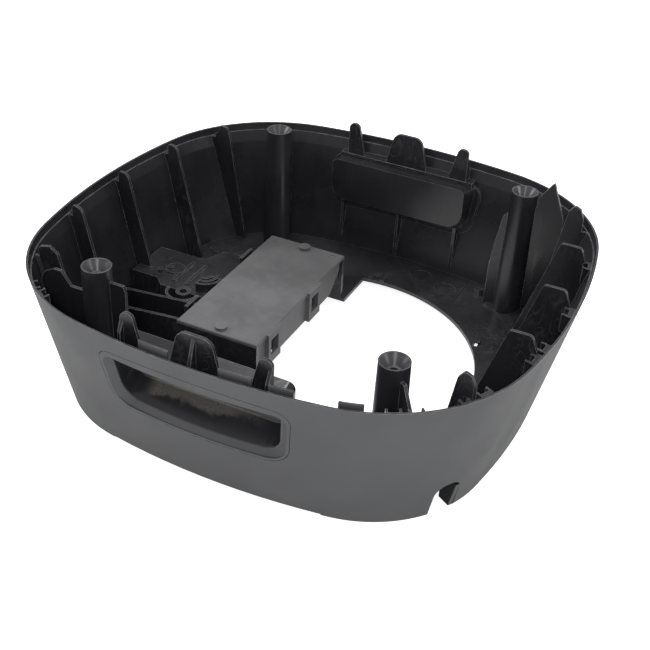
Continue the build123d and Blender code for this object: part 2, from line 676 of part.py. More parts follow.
with BuildPart() as base_shell:
    # Walls and floor.
    loft([plan(0, 0), plan(RIM_Z, 0)], ruled=True)
    fillet(base_shell.faces().sort_by(Axis.Z)[0].edges(), FOOT_EDGE)
    loft([plan(FLOOR_TOP, WALL), plan(TALLEST, WALL)], ruled=True, mode=Mode.SUBTRACT)
    loft([plan(0, WALL), plan(FLOOR_FOOT, WALL)], ruled=True, mode=Mode.SUBTRACT)
    loft([plan(LIP_FOOT, LIP_T), plan(TALLEST, LIP_T)], ruled=True, mode=Mode.SUBTRACT)
    loft([plan(BAND_FOOT, WALL), plan(LIP_FOOT, BAND_T)], ruled=True, mode=Mode.SUBTRACT)
    add(floor_slope.part)
    add(wall_ribs.part)
    add(seal_strip.part)
    # Openings in the floor: the round one, and the open bottom of the compartment.
    with BuildSketch(Plane.XY):
        with Locations((OPENING_X, 0)):
            Circle(OPENING_R)
        with Locations((BOX_RIGHT + OVERRUN, 0)):
            Rectangle(HALF_X, HALF_Y * 2, align=(Align.MAX, Align.CENTER), mode=Mode.SUBTRACT)
        with Locations((BOX_LEFT + BOX_WALL, BOX_NEAR + BOX_WALL)):
            Rectangle(
                BOX_RIGHT - BOX_LEFT + OVERRUN,
                BOX_FAR - BOX_NEAR - BOX_WALL * 2,
                align=(Align.MIN, Align.MIN),
            )
    extrude(amount=FLOOR_TOP, mode=Mode.SUBTRACT)
    # Compartment walls, and the bridge behind the cover's skirt with its two hooks.
    with Locations((BOX_MID_X, BOX_NEAR, FLOOR_FOOT)):
        Box(
            BOX_RIGHT - BOX_LEFT,
            BOX_WALL,
            COVER_FOOT - FLOOR_FOOT,
            align=(Align.CENTER, Align.MIN, Align.MIN),
        )
    with Locations((BOX_MID_X, BOX_FAR, FLOOR_FOOT)):
        Box(
            BOX_RIGHT - BOX_LEFT,
            BOX_WALL,
            COVER_FOOT - FLOOR_FOOT,
            align=(Align.CENTER, Align.MAX, Align.MIN),
        )
    with Locations((BOX_LEFT, BOX_MID_Y, FLOOR_FOOT)):
        Box(BOX_WALL, BOX_FAR - BOX_NEAR, COVER_FOOT - FLOOR_FOOT, align=OUTWARD)
    with Locations((BRIDGE_X - BRIDGE_T, BOX_MID_Y, BRIDGE_FOOT)):
        Box(BRIDGE_T, BOX_FAR - BOX_NEAR - BOX_WALL, COVER_FOOT - BRIDGE_FOOT, align=OUTWARD)
    for y in LOOP_Y:
        hook = [
            (BRIDGE_X - BRIDGE_T / 2, WINDOW_FOOT + FIT_GAP),
            (BRIDGE_X + HOOK_OUT, WINDOW_FOOT + FIT_GAP),
            (BRIDGE_X, WINDOW_FOOT + HOOK_H),
            (BRIDGE_X - BRIDGE_T / 2, WINDOW_FOOT + HOOK_H),
        ]
        extrude(web(upright(0, y, 0), hook), amount=HOOK_W / 2, both=True)
    # Upright catches left of the compartment.
    for y in CATCH_Y:
        with Locations((BOX_LEFT - CATCH_SET - CATCH_T, y, FLOOR_FOOT)):
            Box(CATCH_T, CATCH_W, COVER_TOP - FLOOR_FOOT, align=OUTWARD)
            Box(CATCH_SET + CATCH_T * 2, CATCH_W, DECK_TOP, align=OUTWARD)
    # Clamp boss with its collar.
    with BuildSketch(Plane.XY.offset(FLOOR_FOOT)):
        with Locations((CLAMP_X, CLAMP_Y)):
            Circle(COLLAR_R)
            Circle(COLLAR_R - COLLAR_T, mode=Mode.SUBTRACT)
            Rectangle(
                COLLAR_R * 2, COLLAR_R, align=(Align.CENTER, Align.MIN), mode=Mode.SUBTRACT
            )
            Circle(CLAMP_R)
    extrude(amount=CLAMP_TOP - FLOOR_FOOT)
    with Locations((CLAMP_X, CLAMP_Y, CLAMP_TOP)):
        Cylinder(CLAMP_HOLE_R, CLAMP_TOP / 2, align=HUNG, mode=Mode.SUBTRACT)
    # Details on the deck.
    with Locations((STRIP_X[0], CLIP_Y, DECK_TOP), (STRIP_X[1], CLIP_Y, DECK_TOP)):
        Box(STRIP_W, STRIP_L, STRIP_H * 2)
    with Locations((STRIP_X[0] - DISC_R, CLIP_Y, DECK_TOP)):
        Cylinder(DISC_R, DISC_H * 2)
    for x, y in PINS:
        with Locations((x, y, DECK_TOP - OVERRUN)):
            Cylinder(PIN_R, PIN_TOP - DECK_TOP + OVERRUN, align=FLAT)
    with Locations((CLIP_X, CLIP_Y, DECK_TOP - OVERRUN)):
        Box(FIN_T, CLIP_W, CLIP_TOP - DECK_TOP + OVERRUN, align=FLAT)
        Box(CLIP_W, FIN_T, CLIP_TOP - DECK_TOP + OVERRUN, align=FLAT)
    with BuildSketch(Plane.XY.offset(DECK_TOP - OVERRUN)):
        with Locations((COMB_X, COMB_Y + COMB_W)):
            for ring in range(3):
                Circle(COMB_W - ring * FIN_T * 2)
                Circle(COMB_W - FIN_T - ring * FIN_T * 2, mode=Mode.SUBTRACT)
            Rectangle(COMB_W * 2, COMB_W * 2, align=(Align.CENTER, Align.MIN), mode=Mode.SUBTRACT)
            Rectangle(COMB_W * 2, COMB_W, align=(Align.MAX, Align.MAX), mode=Mode.SUBTRACT)
    extrude(amount=COMB_TOP - DECK_TOP)
    extrude(deck_face(0, FLOOR_T), amount=DECK_TOP - FLOOR_T, mode=Mode.SUBTRACT)
    # Marks on the floor.
    for x, y in DIMPLES:
        with Locations((x, y, FLOOR_TOP)):
            Cylinder(DIMPLE_R, DIMPLE_D, align=HUNG, mode=Mode.SUBTRACT)
    with Locations((GROOVE_X, GROOVE_Y, FLOOR_TOP)):
        Box(GROOVE_W, GROOVE_L, DIMPLE_D * 2, mode=Mode.SUBTRACT)
    with Locations((SLOT_X, SLOT_Y, FLOOR_FOOT)):
        Box(SLOT_W, SLOT_L, FLOOR_T * 2, mode=Mode.SUBTRACT)
    with Locations((DOME_X, DOME_Y, FLOOR_TOP - FLOOR_T / 2)):
        Cone(DOME_R, DOME_R / 2, FLOOR_T + DOME_R / 2, align=FLAT)
    with Locations((*FOOT_DISC, FLOOR_TOP)):
        Cylinder(DISC_R, DISC_H * 2)
    for x, y in SNAP_TABS:
        with Locations((x, y, FLOOR_FOOT)):
            Box(SNAP_TAB, SNAP_TAB * 2, FLOOR_T + DISC_H, align=FLAT)
    # Bores, screw holes and funnels of the towers.
    for x, y in TOWERS:
        with Locations((x, y, 0)):
            Cylinder(
                TOWER_BORE_R, TOWER_TOP - FUNNEL_H - SCREW_LAND, align=FLAT, mode=Mode.SUBTRACT
            )
            Cylinder(SCREW_R, TOWER_TOP, align=FLAT, mode=Mode.SUBTRACT)
        with Locations((x, y, TOWER_TOP)):
            Cone(FUNNEL_FOOT_R, FUNNEL_R, FUNNEL_H, align=HUNG, mode=Mode.SUBTRACT)
    # Recesses and windows of the grips.
    for side in (-1, 1):
        add(wall_plug(bezel_face(side, -OVERRUN, FIT_GAP), BEZEL_T + FIT_GAP), mode=Mode.SUBTRACT)
        add(wall_plug(slab_face(side, -OVERRUN, FIT_GAP), SLAB_T + FIT_GAP), mode=Mode.SUBTRACT)
        add(pocket_body(side, FIT_GAP), mode=Mode.SUBTRACT)
    # Cord notch and the relief between the feet.
    extrude(notch_face(NOTCH_REACH), amount=NOTCH_DEPTH * 3, mode=Mode.SUBTRACT)
    Box(RELIEF_X, HALF_Y * 4, RELIEF_H * 2, mode=Mode.SUBTRACT)
    Box(HALF_X * 4, RELIEF_Y, RELIEF_H * 2, mode=Mode.SUBTRACT)

with BuildPart() as front_grip_insert:
    add(grip_insert(-1))

with BuildPart() as back_grip_insert:
    add(grip_insert(1))

with BuildPart() as compartment_cover:
    # Plate with its pegs and marks.
    with Locations((BOX_MID_X, BOX_MID_Y, COVER_FOOT)):
        Box(BOX_RIGHT - BOX_LEFT, BOX_FAR - BOX_NEAR, COVER_T, align=FLAT)
    chamfer(compartment_cover.faces().sort_by(Axis.Z)[-1].edges(), COVER_T / 4)
    with Locations(
        (PEG_X, BOX_NEAR + PEG_INSET, COVER_TOP), (PEG_X, BOX_FAR - PEG_INSET, COVER_TOP)
    ):
        Cylinder(PEG_R, PEG_H, align=FLAT)
    with Locations(
        (BOX_MID_X - MARK_X, BOX_FAR - MARK_INSET, COVER_TOP),
        (BOX_MID_X + MARK_X, BOX_FAR - MARK_INSET, COVER_TOP),
    ):
        Cylinder(MARK_R, MARK_D, align=HUNG, mode=Mode.SUBTRACT)
    # Skirt with its slanted far end.
    skirt = [
        (SKIRT_NEAR, COVER_FOOT),
        (SKIRT_NEAR, SKIRT_FOOT),
        (SKIRT_FAR, SKIRT_FOOT),
        (SKIRT_END, SKIRT_FOOT + SKIRT_CUT),
        (SKIRT_END, COVER_FOOT),
    ]
    extrude(web(upright(SKIRT_X - SKIRT_T / 2, 0, 90), skirt), amount=SKIRT_T / 2, both=True)
    # Snap loops standing out from the skirt.
    for y in LOOP_Y:
        with Locations((SKIRT_X - SKIRT_T, y, SKIRT_FOOT)):
            Box(LOOP_OUT + SKIRT_T, LOOP_W, COVER_TOP - SKIRT_FOOT, align=OUTWARD)
        with Locations((SKIRT_X - SKIRT_T, y, SKIRT_FOOT)):
            Box(
                LOOP_OUT,
                LOOP_W - LOOP_BAR * 2,
                COVER_FOOT - SKIRT_FOOT,
                align=OUTWARD,
                mode=Mode.SUBTRACT,
            )
        with Locations((SKIRT_X, y, WINDOW_FOOT)):
            Box(
                LOOP_OUT * 2,
                LOOP_W - LOOP_BAR * 2,
                WINDOW_TOP - WINDOW_FOOT,
                align=OUTWARD,
                mode=Mode.SUBTRACT,
            )

os.makedirs("parts", exist_ok=True)
base_shell.part.label = "base_shell"
export_step(base_shell.part, "parts/base_shell.step")
front_grip_insert.part.label = "front_grip_insert"
export_step(front_grip_insert.part, "parts/front_grip_insert.step")
back_grip_insert.part.label = "back_grip_insert"
export_step(back_grip_insert.part, "parts/back_grip_insert.step")
compartment_cover.part.label = "compartment_cover"
export_step(compartment_cover.part, "parts/compartment_cover.step")
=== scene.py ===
"""Looks of the multicooker base: camera, studio, and the finishes of its four moulded pieces."""

import logging
import math
from dataclasses import dataclass
from enum import Enum

import bpy
from mathutils import Matrix, Vector


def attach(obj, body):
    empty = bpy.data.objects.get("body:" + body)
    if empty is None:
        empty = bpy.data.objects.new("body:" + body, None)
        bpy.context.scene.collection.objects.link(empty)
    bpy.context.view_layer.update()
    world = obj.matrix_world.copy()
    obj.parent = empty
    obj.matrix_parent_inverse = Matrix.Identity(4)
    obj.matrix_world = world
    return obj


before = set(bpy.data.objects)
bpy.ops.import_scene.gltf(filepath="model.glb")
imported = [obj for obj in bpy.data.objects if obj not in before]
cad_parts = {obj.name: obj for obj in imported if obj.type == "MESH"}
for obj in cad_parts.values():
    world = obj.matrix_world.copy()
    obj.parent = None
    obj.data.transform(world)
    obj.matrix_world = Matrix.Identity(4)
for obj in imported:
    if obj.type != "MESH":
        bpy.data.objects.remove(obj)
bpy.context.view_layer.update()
LOG = logging.getLogger("cooker_base")

Colour = tuple[float, float, float]
Point = tuple[float, float, float]
Span = tuple[float, float]
Socket = bpy.types.NodeSocket
Outputs = bpy.types.bpy_prop_collection
Value = Socket | float | Colour

WHITE: Colour = (1.0, 1.0, 1.0)
UNIT: Point = (1.0, 1.0, 1.0)
# Places of a Mix node's share, first input, second input and result, for each kind of value.
MIX_PLACES = {"RGBA": (0, 6, 7, 2), "FLOAT": (0, 2, 3, 0)}
BEVEL_SEGMENTS = 2


class Sheen(Enum):
    """How a moulded surface answers light."""

    GRAINED = "grained"
    SATIN = "satin"
    POLISHED = "polished"


@dataclass(frozen=True)
class Noise:
    """A noise pattern in Object coordinates.

    Args:
        scale: Its scale, per metre.
        detail: Its octaves.
        twist: How far it is warped.
        stretch: Scale of its coordinates along X, Y and Z.
    """

    scale: float
    detail: float = 2.0
    twist: float = 0.0
    stretch: Point = UNIT


@dataclass(frozen=True)
class WallForm:
    """Shape of the body's wall, which tells its outer face from everything inside it.

    The plan value is 1 where the rounded square meets the outer face, and falls inwards. Each
    span gives the value at which a mask starts and the one at which it is full.

    Args:
        half_x: Half width of the body at the resting plane.
        half_y: Half depth of the body at the resting plane.
        front_bow: Radius of the front and back walls at the resting plane.
        power: Exponent of the rounded square that follows the plan.
        slope: How far the wall leans out for each unit of height.
        rim: Height of the rim.
        near: Plan value beyond which a face can be the outer one.
        outward: How squarely a face looks outwards where it is the outer one.
        inboard: Plan values where what stands inside the wall is clear of it.
        above_rim: Heights over the rim where what stands above it is clear of it.
        tower_x: Places of the smooth screw towers across the body.
        tower_y: Their distance in front of and behind its middle.
        tower_clear: Distances from a tower's axis where its smooth side ends.
        mouth_reach: Distances from a tower's axis that its funnel mouth lies within.
        mouth_height: Heights over the rim where a funnel mouth begins.
    """

    half_x: float = 0.1458
    half_y: float = 0.1399
    front_bow: float = 0.4414
    power: float = 2.95
    slope: float = math.tan(math.radians(12.2))
    rim: float = 0.0945
    near: float = 0.9
    outward: Span = (0.25, 0.5)
    inboard: Span = (0.93, 0.86)
    above_rim: Span = (-0.004, 0.002)
    tower_x: tuple[float, ...] = (-0.091, 0.097)
    tower_y: float = 0.112
    tower_clear: Span = (0.013, 0.016)
    mouth_reach: Span = (0.0085, 0.0070)
    mouth_height: Span = (-0.004, -0.001)

    def over_rim(self, heights: Span) -> Span:
        """Counts heights over the rim from the resting plane.

        Args:
            heights: Heights over the rim.

        Returns:
            The same heights over the resting plane.
        """
        return (self.rim + heights[0], self.rim + heights[1])


@dataclass(frozen=True)
class GrainForm:
    """Fine spark-eroded grain of the outer skin.

    Args:
        fine: Pattern of its pits.
        coarse: Pattern of its wider hollows.
        coarse_share: How much the hollows add to its height.
        fleck_cut: Pit values at which a pale fleck starts and is full.
    """

    fine: Noise = Noise(2600.0, 3.0)
    coarse: Noise = Noise(900.0)
    coarse_share: float = 0.5
    fleck_cut: Span = (0.35, 0.7)


@dataclass(frozen=True)
class FlowForm:
    """Streaks, clouds and swirls that plastic leaves as it fills a mould.

    Args:
        streak: Pattern of the long streaks.
        streak_cut: Its values at which a streak starts and is full.
        cloud: Pattern of the clouds.
        cloud_cut: Its values at which a cloud starts and is full.
        swirl: Pattern of the swirls.
        patch: Pattern of the patches that show swirls.
        patch_cut: Its values at which a patch starts and is full.
        bands: Number of flow lines over the range of the swirl's values.
        band_middle: Middle of the span between two flow lines.
        line_cut: Distances from that middle at which a line starts and is full.
    """

    streak: Noise = Noise(150.0, 5.0, stretch=(1.0, 1.0, 0.16))
    streak_cut: Span = (0.42, 0.72)
    cloud: Noise = Noise(26.0, 3.0)
    cloud_cut: Span = (0.3, 0.7)
    swirl: Noise = Noise(70.0, 2.0, 1.6, (1.0, 1.0, 0.4))
    patch: Noise = Noise(22.0, 1.0)
    patch_cut: Span = (0.40, 0.62)
    bands: float = 7.0
    band_middle: float = 0.5
    line_cut: Span = (0.16, 0.03)


@dataclass(frozen=True)
class EdgeHighlightForm:
    """Painted highlight on moulded edges, lightening them where they would catch the light.

    Args:
        width: Radius over which an edge shows.
        samples: Samples of the bevel that finds it.
        turn: Turns of the face's direction at which an edge starts and is full.
        gap: Pattern of the gaps that break edges up.
        gap_cut: Its values at which a gap ends and an edge is whole again.
        gap_share: What is left of an edge in a gap.
        floor_cut: Heights between which an edge rises from the floor.
        floor_share: What is left of an edge on the floor.
    """

    width: float = 0.0007
    samples: int = 6
    turn: Span = (0.03, 0.22)
    gap: Noise = Noise(170.0, 3.0)
    gap_cut: Span = (0.38, 0.60)
    gap_share: float = 0.5
    floor_cut: Span = (0.010, 0.022)
    floor_share: float = 0.35


@dataclass(frozen=True)
class DustForm:
    """Fine dust that settles on faces that look up.

    Args:
        level: How far a face looks up where dust starts to lie and lies in full.
        patch: Pattern of the dust's patches.
        patch_cut: Its values at which a patch starts and is full.
        cover: How much of the face a full patch hides.
        amount: Amount of dust where a finish names none.
    """

    level: Span = (0.45, 0.95)
    patch: Noise = Noise(60.0, 6.0)
    patch_cut: Span = (0.42, 0.68)
    cover: float = 0.6
    amount: float = 0.5


@dataclass(frozen=True)
class PocketDustForm:
    """Patch of tan dust on the ramp at the back of the front hand pocket.

    Args:
        slant: How far its lower edge climbs for each unit across.
        foot: Height of its lower edge at the body's middle.
        fray: Pattern that frays the lower edge.
        fray_middle: Middle of that pattern's values.
        fray_reach: How far the edge is frayed.
        rise: Heights over the edge at which dust starts and is full.
        left: Places across at which it starts and is full on its left.
        right: The same on its right.
        top: Height at which the ramp ends.
        speck: Pattern of its specks.
        speck_cut: Its values at which a speck starts and is full.
        speck_share: How much of the face a full speck hides.
        film_share: How much the thin dust between the specks hides.
    """

    slant: float = 0.052
    foot: float = 0.0490
    fray: Noise = Noise(110.0, 4.0)
    fray_middle: float = 0.5
    fray_reach: float = 0.008
    rise: Span = (-0.0008, 0.0024)
    left: Span = (-0.046, -0.036)
    right: Span = (0.040, 0.006)
    top: float = 0.0545
    speck: Noise = Noise(2600.0, 3.0)
    speck_cut: Span = (0.36, 0.66)
    speck_share: float = 0.45
    film_share: float = 0.14


@dataclass(frozen=True)
class FarShadeForm:
    """Painted shade towards the cover's back end, broken up by the flow clouds.

    Args:
        back: Places along the cover at which it starts and is full.
        clear_share: How much of it shows where there is no cloud.
        cloud_share: How much of it shows under a full cloud.
        shade: Its colour, as a share of the cover's own.
    """

    back: Span = (-0.020, 0.070)
    clear_share: float = 0.95
    cloud_share: float = 0.65
    shade: float = 0.5


@dataclass(frozen=True)
class LayerShares:
    """How strongly each effect shows in a finish.

    Args:
        fleck: Share of the flecks in the outer skin.
        streak: Share of the streaks in the bare plastic.
        pale: How much lighter a fleck or a streak is.
        cloud: Share of the clouds in the bare plastic.
        cloud_pale: How much lighter a cloud is.
        line_highlight_pale: How much lighter the painted highlight streak along a flow line is.
        mouth: Share of the painted sheen in the funnel mouths.
        mouth_sheen_pale: How much lighter the painted sheen makes a mouth.
        bare_edge_highlight: Share of the painted edge highlight on bare plastic.
        outer_edge_highlight: Share of the painted edge highlight on the outer skin.
        cloud_rough: Roughness that a cloud adds.
        dust_rough: Roughness of dust.
        streak_height: Height of a streak, in grain heights.
        bump: Strength of the relief.
    """

    fleck: float = 0.22
    streak: float = 0.5
    pale: float = 1.45
    cloud: float = 0.45
    cloud_pale: float = 1.9
    line_highlight_pale: float = 5.0
    mouth: float = 0.8
    mouth_sheen_pale: float = 4.5
    bare_edge_highlight: float = 0.9
    outer_edge_highlight: float = 0.15
    cloud_rough: float = 0.12
    dust_rough: float = 0.85
    streak_height: float = 0.5
    bump: float = 0.6


class Graph:
    """A small hand for wiring shader nodes in a material or a group."""

    def __init__(self, tree: bpy.types.NodeTree) -> None:
        """Takes the tree to wire.

        Args:
            tree: Node tree of a material, a world or a group.
        """
        self.tree = tree

    def node(self, kind: str, **values: object) -> bpy.types.Node:
        """Adds one node.

        Args:
            kind: Blender's node type.
            **values: Properties of the node to set.

        Returns:
            The new node.
        """
        made = self.tree.nodes.new(kind)
        for name, value in values.items():
            setattr(made, name, value)
        return made

    def first(self, kind: str) -> bpy.types.Node:
        """Finds the node that the tree came with.

        Args:
            kind: Blender's short name of the node's type.

        Returns:
            The first such node.
        """
        return next(node for node in self.tree.nodes if node.type == kind)

    def feed(self, socket: Socket, value: Value) -> None:
        """Links a socket to another, or sets its number or colour.

        Args:
            socket: Input socket.
            value: Output socket, number or colour.
        """
        if isinstance(value, Socket):
            self.tree.links.new(value, socket)
        elif isinstance(value, tuple) and socket.type == "RGBA":
            socket.default_value = (*value, 1.0)
        else:
            socket.default_value = value

    def calc(self, operation: str, *values: Value, clamp: bool = False) -> Socket:
        """Adds a Math node.

        Args:
            operation: Blender's operation name.
            *values: Its inputs, in order.
            clamp: Whether the result is kept between 0 and 1.

        Returns:
            The node's output socket.
        """
        made = self.node("ShaderNodeMath", operation=operation, use_clamp=clamp)
        for index, value in enumerate(values):
            self.feed(made.inputs[index], value)
        return made.outputs[0]

    def times(self, first: Value, *others: Value) -> Socket:
        """Multiplies numbers, one after the other.

        Args:
            first: First number or socket.
            *others: The numbers or sockets to multiply it by.

        Returns:
            The product's socket.
        """
        product = first
        for other in others:
            product = self.calc("MULTIPLY", product, other)
        return product

    def less(self, first: Value, second: Value) -> Socket:
        """Takes a number from another.

        Args:
            first: Number or socket.
            second: What is taken from it.

        Returns:
            The difference's socket.
        """
        return self.calc("SUBTRACT", first, second)

    def power(self, value: Value, exponent: float) -> Socket:
        """Raises a number to a power.

        Args:
            value: Number or socket.
            exponent: The exponent.

        Returns:
            The power's socket.
        """
        return self.calc("POWER", value, exponent)

    def step(self, value: Socket, span: Span) -> Socket:
        """Maps a value smoothly to 0 at the span's start and to 1 at its end.

        Args:
            value: Socket to map.
            span: Values that give 0 and 1.

        Returns:
            The mapped socket.
        """
        made = self.node("ShaderNodeMapRange", interpolation_type="SMOOTHSTEP")
        self.feed(made.inputs["Value"], value)
        self.feed(made.inputs["From Min"], span[0])
        self.feed(made.inputs["From Max"], span[1])
        return made.outputs["Result"]

    def blend(self, share: Value, first: Value, second: Value) -> Socket:
        """Mixes two colours.

        Args:
            share: How much of the second shows, 0 to 1.
            first: Colour or socket.
            second: Colour or socket.

        Returns:
            The mixed colour's socket.
        """
        return self._mix("RGBA", share, first, second)

    def level(self, share: Value, first: Value, second: Value) -> Socket:
        """Mixes two numbers.

        Args:
            share: How much of the second shows, 0 to 1.
            first: Number or socket.
            second: Number or socket.

        Returns:
            The mixed number's socket.
        """
        return self._mix("FLOAT", share, first, second)

    def _mix(self, kind: str, share: Value, first: Value, second: Value) -> Socket:
        """Adds a Mix node.

        Args:
            kind: Blender's name of the kind of value.
            share: How much of the second shows, 0 to 1.
            first: First value.
            second: Second value.

        Returns:
            The mixed value's socket.
        """
        made = self.node("ShaderNodeMix", data_type=kind)
        *inputs, result = MIX_PLACES[kind]
        for index, value in zip(inputs, (share, first, second)):
            self.feed(made.inputs[index], value)
        return made.outputs[result]

    def vector(
        self, operation: str, first: Socket, second: Socket | None = None
    ) -> bpy.types.Node:
        """Adds a Vector Math node.

        Args:
            operation: Blender's operation name.
            first: First vector.
            second: Second vector, where the operation takes one.

        Returns:
            The node.
        """
        made = self.node("ShaderNodeVectorMath", operation=operation)
        self.feed(made.inputs[0], first)
        if second is not None:
            self.feed(made.inputs[1], second)
        return made

    def scaled(self, vector: Socket, factor: Socket) -> Socket:
        """Scales a vector.

        Args:
            vector: The vector.
            factor: What each of its parts is multiplied by.

        Returns:
            The scaled vector's socket.
        """
        made = self.vector("SCALE", vector)
        self.feed(made.inputs["Scale"], factor)
        return made.outputs["Vector"]

    def dot(self, first: Socket, second: Socket) -> Socket:
        """Says how far two unit vectors point the same way.

        Args:
            first: First vector.
            second: Second vector.

        Returns:
            The socket of their dot product.
        """
        return self.vector("DOT_PRODUCT", first, second).outputs["Value"]

    def noise(self, pattern: Noise, where: Socket | None = None) -> Socket:
        """Adds a noise texture.

        Args:
            pattern: The pattern.
            where: Its coordinates, where they aren't the pattern's own.

        Returns:
            The noise value's socket.
        """
        made = self.node("ShaderNodeTexNoise")
        self.feed(made.inputs["Vector"], where or self.place(pattern.stretch))
        self.feed(made.inputs["Scale"], pattern.scale)
        self.feed(made.inputs["Detail"], pattern.detail)
        self.feed(made.inputs["Distortion"], pattern.twist)
        return made.outputs[0]

    def place(self, stretch: Point = UNIT) -> Socket:
        """Adds Object coordinates, scaled along the axes.

        Args:
            stretch: Scale of the coordinates along X, Y and Z.

        Returns:
            The coordinates socket.
        """
        found = self.node("ShaderNodeTexCoord").outputs["Object"]
        if stretch == UNIT:
            return found
        mapped = self.node("ShaderNodeMapping")
        self.feed(mapped.inputs["Vector"], found)
        mapped.inputs["Scale"].default_value = stretch
        return mapped.outputs["Vector"]

    def normal(self) -> Socket:
        """Adds the direction that the face looks in.

        Returns:
            The direction's socket.
        """
        return self.node("ShaderNodeNewGeometry").outputs["Normal"]

    def parts(self, vector: Socket) -> tuple[Socket, ...]:
        """Takes a vector apart.

        Args:
            vector: The vector.

        Returns:
            Sockets of its X, Y and Z.
        """
        made = self.node("ShaderNodeSeparateXYZ")
        self.feed(made.inputs[0], vector)
        return tuple(made.outputs)


@dataclass(frozen=True)
class PlacedEffects:
    """Outputs of the shared node groups, as one material holds them.

    Args:
        skin: Masks that follow from the wall's shape.
        flow: Flow marks.
        grain: Grain of the outer skin.
        edge: Painted highlight on moulded edges.
        dust: Settled dust.
    """

    skin: Outputs
    flow: Outputs
    grain: Outputs
    edge: Outputs
    dust: Outputs


class SharedEffects:
    """Node groups that more than one finish uses."""

    def __init__(self) -> None:
        """Builds the groups."""
        self.grain = self._grain(GrainForm())
        self.flow = self._flow(FlowForm())
        self.edge = self._edge_highlight(EdgeHighlightForm())
        self.dust = self._dust(DustForm())
        self.skin = self._skin(WallForm())

    def place(self, graph: Graph, dusty: float) -> PlacedEffects:
        """Places every group in a material.

        Args:
            graph: Graph of the material.
            dusty: Amount of settled dust.

        Returns:
            The outputs of the groups' nodes.
        """
        return PlacedEffects(
            skin=self._use(graph, self.skin),
            flow=self._use(graph, self.flow),
            grain=self._use(graph, self.grain),
            edge=self._use(graph, self.edge),
            dust=self._use(graph, self.dust, Amount=dusty),
        )

    @staticmethod
    def _use(graph: Graph, group: bpy.types.NodeTree, **values: float) -> Outputs:
        """Places a group in a material.

        Args:
            graph: Graph of the material.
            group: The group.
            **values: Values of its named inputs.

        Returns:
            The outputs of the group's node.
        """
        made = graph.node("ShaderNodeGroup", node_tree=group)
        for name, value in values.items():
            graph.feed(made.inputs[name], value)
        return made.outputs

    @staticmethod
    def _start(
        name: str, given: str, value: float, outputs: tuple[str, ...]
    ) -> tuple[Graph, Socket]:
        """Starts a group with named sockets.

        Args:
            name: Name of the group.
            given: Name of its input.
            value: The input's default value.
            outputs: Names of its outputs.

        Returns:
            The graph of the group and the socket of what it is given.
        """
        tree = bpy.data.node_groups.new(name, "ShaderNodeTree")
        taken = tree.interface.new_socket(given, in_out="INPUT", socket_type="NodeSocketFloat")
        taken.default_value = value
        for label in outputs:
            tree.interface.new_socket(label, in_out="OUTPUT", socket_type="NodeSocketFloat")
        graph = Graph(tree)
        return graph, graph.node("NodeGroupInput").outputs[given]

    @staticmethod
    def _finish(graph: Graph, **results: Socket) -> bpy.types.NodeTree:
        """Feeds the outputs of a group.

        Args:
            graph: Graph of the group.
            **results: What each named output gives.

        Returns:
            The finished group.
        """
        out = graph.node("NodeGroupOutput")
        for name, result in results.items():
            graph.feed(out.inputs[name], result)
        return graph.tree

    def _grain(self, form: GrainForm) -> bpy.types.NodeTree:
        """Builds the fine spark-eroded grain of the outer skin.

        Args:
            form: Its form.

        Returns:
            The group.
        """
        graph, size = self._start("Mould Grain", "Size", 1.0, ("Height", "Fleck"))
        spot = graph.scaled(graph.place(), size)
        fine = graph.noise(form.fine, spot)
        coarse = graph.times(graph.noise(form.coarse, spot), form.coarse_share)
        return self._finish(
            graph, Height=graph.calc("ADD", fine, coarse), Fleck=graph.step(fine, form.fleck_cut)
        )

    def _flow(self, form: FlowForm) -> bpy.types.NodeTree:
        """Builds the streaks, clouds and swirls that plastic leaves as it fills a mould.

        Args:
            form: Their form.

        Returns:
            The group.
        """
        outputs = ("Streak", "Cloud", "Swirl", "Line")
        graph, reach = self._start("Flow Marks", "Reach", 1.0, outputs)
        spot = graph.scaled(graph.place(form.streak.stretch), reach)
        streak = graph.noise(form.streak, spot)
        cloud = graph.noise(form.cloud)
        swirl = graph.noise(form.swirl)
        patch = graph.step(graph.noise(form.patch), form.patch_cut)
        band = graph.calc("FRACT", graph.times(swirl, form.bands))
        apart = graph.calc("ABSOLUTE", graph.less(band, form.band_middle))
        return self._finish(
            graph,
            Streak=graph.step(streak, form.streak_cut),
            Cloud=graph.step(cloud, form.cloud_cut),
            Swirl=graph.times(swirl, patch),
            Line=graph.times(graph.step(apart, form.line_cut), patch),
        )

    def _edge_highlight(self, form: EdgeHighlightForm) -> bpy.types.NodeTree:
        """Builds the mask of the painted highlight on moulded edges.

        Args:
            form: Their form.

        Returns:
            The group.
        """
        graph, width = self._start("Painted Edge Highlights", "Width", form.width, ("Mask",))
        bevel = graph.node("ShaderNodeBevel", samples=form.samples)
        graph.feed(bevel.inputs["Radius"], width)
        turned = graph.less(1.0, graph.dot(bevel.outputs[0], graph.normal()))
        whole = graph.step(graph.noise(form.gap), form.gap_cut)
        _, _, height = graph.parts(graph.place())
        raised = graph.step(height, form.floor_cut)
        kept = graph.times(
            graph.level(whole, form.gap_share, 1.0), graph.level(raised, form.floor_share, 1.0)
        )
        return self._finish(graph, Mask=graph.times(graph.step(turned, form.turn), kept))

    def _dust(self, form: DustForm) -> bpy.types.NodeTree:
        """Builds the mask of fine dust that lies on faces that look up.

        Args:
            form: Its form.

        Returns:
            The group.
        """
        graph, amount = self._start("Settled Dust", "Amount", form.amount, ("Mask",))
        _, _, up = graph.parts(graph.normal())
        patch = graph.step(graph.noise(form.patch), form.patch_cut)
        mask = graph.times(patch, form.cover, graph.step(up, form.level), amount)
        return self._finish(graph, Mask=mask)

